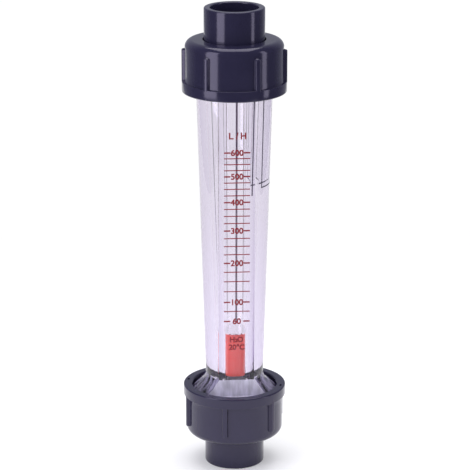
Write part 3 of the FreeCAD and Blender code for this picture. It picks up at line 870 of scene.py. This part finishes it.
def grip_rib(side):
    """One grip rib facing -Y: a blade with drafted flanks, a bullet tip and softened edges."""
    low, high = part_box(f"{side}_union_nut")
    closed, sign = (low.z, 1) if side == "lower" else (high.z, -1)
    foot = high.z - low.z - RING_HEIGHT + RING_ROUND
    centre = RIB_END + math.sqrt(RIB_TIP ** 2 - RIB_HALF ** 2)
    full = (RIB_TOP - RIB_ROOT) * math.tan(RIB_DRAFT)
    layers = [(0.0, RIB_ROOT), (full * 0.8, RIB_ROOT + (RIB_TOP - RIB_ROOT) * 0.8)]
    for bend in steps(0, math.pi / 2, 6):
        layers.append((full * 0.84 + RIB_EDGE * (1 - math.cos(bend)),
                       RIB_TOP - RIB_EDGE * (1 - math.sin(bend))))
    bm = bmesh.new()
    rings = []
    for inset, reach in layers:
        half, tip = RIB_HALF - inset, RIB_TIP - inset
        swing = math.asin(half / tip)
        outline = [(half, foot)]
        outline += [(tip * math.sin(turn), centre - tip * math.cos(turn))
                    for turn in steps(swing, -swing, 16)]
        outline.append((-half, foot))
        rings.append([bm.verts.new((x, -reach, closed + sign * z)) for x, z in outline])
    for ring, next_ring in zip(rings, rings[1:]):
        join_rings(bm, ring, next_ring)
    bm.faces.new(rings[-1])
    bm.faces.new(rings[0][::-1])
    bmesh.ops.recalc_face_normals(bm, faces=bm.faces)
    mesh = bpy.data.meshes.new("rib")
    bm.to_mesh(mesh)
    bm.free()
    return mesh


def rib_tree(material):
    """Geometry Nodes: the same rib repeated round the Z axis from a first turn."""
    tree = bpy.data.node_groups.new("grip ribs", "GeometryNodeTree")
    tree.interface.new_socket("Rib", in_out="INPUT", socket_type="NodeSocketGeometry")
    count = tree.interface.new_socket("Rib count", in_out="INPUT", socket_type="NodeSocketInt")
    first = tree.interface.new_socket("First turn", in_out="INPUT", socket_type="NodeSocketFloat")
    tree.interface.new_socket("Ribs", in_out="OUTPUT", socket_type="NodeSocketGeometry")
    entry = add_node(tree, "NodeGroupInput")
    places = add_node(tree, "GeometryNodePoints", {"Count": entry.outputs["Rib count"]})
    index = add_node(tree, "GeometryNodeInputIndex")
    share = add_node(tree, "ShaderNodeMath", {0: index.outputs[0], 1: entry.outputs["Rib count"]},
                     operation="DIVIDE")
    turn = add_node(tree, "ShaderNodeMath", {0: share.outputs[0], 1: 2 * math.pi,
                                             2: entry.outputs["First turn"]},
                    operation="MULTIPLY_ADD")
    swing = add_node(tree, "ShaderNodeCombineXYZ", {"Z": turn.outputs[0]})
    laid = add_node(tree, "GeometryNodeInstanceOnPoints", {
        "Points": places.outputs[0], "Instance": entry.outputs["Rib"],
        "Rotation": swing.outputs[0]})
    real = add_node(tree, "GeometryNodeRealizeInstances", {"Geometry": laid.outputs[0]})
    dressed = add_node(tree, "GeometryNodeSetMaterial", {"Geometry": real.outputs[0],
                                                         "Material": material})
    add_node(tree, "NodeGroupOutput", {"Ribs": dressed.outputs[0]})
    return tree, count.identifier, first.identifier


pvc = charcoal_pvc("charcoal moulded PVC")
rib_rule, count_input, turn_input = rib_tree(pvc)
for side in ("lower", "upper"):
    shell = nut_shell(side)
    ribs = run_tree(grip_rib(side), rib_rule, {count_input: RIB_COUNT, turn_input: NUT_TURN[side]})
    bm = bmesh.new()
    bm.from_mesh(shell.data)
    bm.from_mesh(ribs)
    bpy.data.objects.remove(shell)
    nut = finish_piece(bm, f"{side}_ribbed_nut", 30, [pvc])
    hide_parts(f"{side}_union_nut")
    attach(nut, f"{side}_nut")
    smooth_node(f"{side}_socket_end", pvc)

# O-rings.
# Moulded nitrile rubber rings in the socket ends' grooves, hidden by the nuts.


def nitrile_rubber(name):
    """Nitrile rubber off the mould: near black and matt, with a fine grain."""
    material, tree = new_material(name)
    place = add_node(tree, "ShaderNodeTexCoord")
    grain = add_node(tree, "ShaderNodeTexNoise", {"Vector": place.outputs["Object"],
                                                  "Scale": 1 / (0.5 * MM)})
    bump = add_node(tree, "ShaderNodeBump", {"Height": grain.outputs["Fac"], "Strength": 0.2,
                                             "Distance": 0.02 * MM})
    shell = add_node(tree, "ShaderNodeBsdfPrincipled", {
        "Base Color": linear("#1B1A1C"), "Roughness": 0.55, "Normal": bump.outputs["Normal"]})
    add_node(tree, "ShaderNodeOutputMaterial", {"Surface": shell.outputs[0]})
    return material


rubber = nitrile_rubber("moulded nitrile rubber")
for side in ("lower", "upper"):
    smooth_node(f"{side}_o_ring", rubber)

# Studio.
# A white sweep under and behind the meter, a tall soft lamp at the left, a narrower one at the
# right and a broad one above.
FLOOR_BACK = 0.9
FLOOR_HALF = 0.38
FLOOR_FRONT = -0.42
WHITE = 1.02
SOFTBOX_COLOUR = (0.9, 0.88, 1.0)


def studio_floor():
    """Lit paper round the meter's foot that blends into plain white further off."""
    bm = bmesh.new()
    corners = [(-FLOOR_HALF, FLOOR_FRONT, 0), (FLOOR_HALF, FLOOR_FRONT, 0),
               (FLOOR_HALF, FLOOR_BACK, 0), (-FLOOR_HALF, FLOOR_BACK, 0)]
    bm.faces.new([bm.verts.new(c) for c in corners])
    material, tree = new_material("white paper sweep")
    paper = add_node(tree, "ShaderNodeBsdfDiffuse", {"Color": (0.8, 0.8, 0.8, 1)})
    glow = add_node(tree, "ShaderNodeEmission", {"Color": (1, 1, 1, 1), "Strength": 0.20})
    lit = add_node(tree, "ShaderNodeAddShader", {0: paper.outputs[0], 1: glow.outputs[0]})
    distant = add_node(tree, "ShaderNodeEmission", {"Color": (1, 1, 1, 1), "Strength": WHITE})
    place = add_node(tree, "ShaderNodeTexCoord")
    reach = add_node(tree, "ShaderNodeVectorMath", {0: place.outputs["Object"]}, operation="LENGTH")
    away = add_node(tree, "ShaderNodeMapRange", {"Value": reach.outputs["Value"], "From Min": 0.10,
                                                 "From Max": 0.35, "To Min": 0.0, "To Max": 1.0})
    sweep = add_node(tree, "ShaderNodeMixShader", {0: away.outputs[0], 1: lit.outputs[0],
                                                   2: distant.outputs[0]})
    path = add_node(tree, "ShaderNodeLightPath")
    seen = add_node(tree, "ShaderNodeMath", {0: path.outputs["Is Camera Ray"],
                                             1: path.outputs["Is Glossy Ray"]}, operation="MAXIMUM")
    seen = add_node(tree, "ShaderNodeMath", {0: seen.outputs[0],
                                             1: path.outputs["Is Transmission Ray"]},
                    operation="MAXIMUM")
    mixed = add_node(tree, "ShaderNodeMixShader", {0: seen.outputs[0], 1: paper.outputs[0],
                                                   2: sweep.outputs[0]})
    add_node(tree, "ShaderNodeOutputMaterial", {"Surface": mixed.outputs[0]})
    return finish_piece(bm, "floor", 30, [material], outward=False)


studio_floor()


def studio_world():
    """White behind and through the meter, a dim room in its gloss and a plain fill for the rest."""
    world = bpy.data.worlds.new("studio")
    scene.world = world
    world.use_nodes = True
    tree = world.node_tree
    tree.nodes.clear()
    path = add_node(tree, "ShaderNodeLightPath")
    white = add_node(tree, "ShaderNodeBackground", {"Color": (1, 1, 1, 1), "Strength": WHITE})
    fill = add_node(tree, "ShaderNodeBackground", {"Color": (0.94, 0.94, 1.0, 1), "Strength": 0.7})
    place = add_node(tree, "ShaderNodeTexCoord")
    way = add_node(tree, "ShaderNodeSeparateXYZ", {"Vector": place.outputs["Generated"]})
    behind = add_node(tree, "ShaderNodeMapRange", {"Value": way.outputs["Y"], "From Min": 0.2,
                                                   "From Max": 0.8, "To Min": 0.12, "To Max": 0.45})
    room = add_node(tree, "ShaderNodeBackground", {"Color": (0.85, 0.87, 1.0, 1),
                                                   "Strength": behind.outputs[0]})
    gloss = add_node(tree, "ShaderNodeMixShader", {0: path.outputs["Is Glossy Ray"],
                                                   1: fill.outputs[0], 2: room.outputs[0]})
    seen = add_node(tree, "ShaderNodeMath", {0: path.outputs["Is Camera Ray"],
                                             1: path.outputs["Is Transmission Ray"]},
                    operation="MAXIMUM")
    mixed = add_node(tree, "ShaderNodeMixShader", {0: seen.outputs[0], 1: gloss.outputs[0],
                                                   2: white.outputs[0]})
    add_node(tree, "ShaderNodeOutputWorld", {"Surface": mixed.outputs[0]})


studio_world()


def soft_lamp(name, place, target, width, height, watts, colour=(1, 1, 1)):
    data = bpy.data.lights.new(name, "AREA")
    data.shape = "RECTANGLE"
    data.size = width
    data.size_y = height
    data.energy = watts
    data.color = colour
    lamp = bpy.data.objects.new(name, data)
    scene.collection.objects.link(lamp)
    lamp.location = place
    lamp.rotation_euler = (Vector(target) - Vector(place)).to_track_quat("-Z", "Y").to_euler()


LOW = (0, 0, 0.1)
HIGH = (0, 0, 0.30)
soft_lamp("left softbox", (-0.48, -0.31, 0.30), HIGH, 0.30, 0.60, 1.9, SOFTBOX_COLOUR)
soft_lamp("right strip", (0.56, -0.225, 0.30), HIGH, 0.13, 0.60, 0.65, SOFTBOX_COLOUR)
soft_lamp("overhead", (0.0, 0.1, 1.1), LOW, 0.9, 0.9, 7.5)

CAMERA_REACH = 0.936
CAMERA_HEIGHT = 0.3893
CAMERA_TURN = math.radians(-4.2)
CAMERA_PITCH = math.radians(17.075)
CAMERA_SWING = -0.00026
camera_data = bpy.data.cameras.new("camera")
camera_data.sensor_width = 36.0
camera_data.lens = 176.99
camera_data.clip_start = 0.05
camera_data.clip_end = 30.0
camera = bpy.data.objects.new("camera", camera_data)
scene.collection.objects.link(camera)
camera.location = (CAMERA_REACH * math.sin(CAMERA_TURN), -CAMERA_REACH * math.cos(CAMERA_TURN),
                   CAMERA_HEIGHT)
camera.rotation_euler = (math.pi / 2 - CAMERA_PITCH, 0, CAMERA_TURN + CAMERA_SWING)
scene.camera = camera
scene.view_settings.view_transform = "Standard"
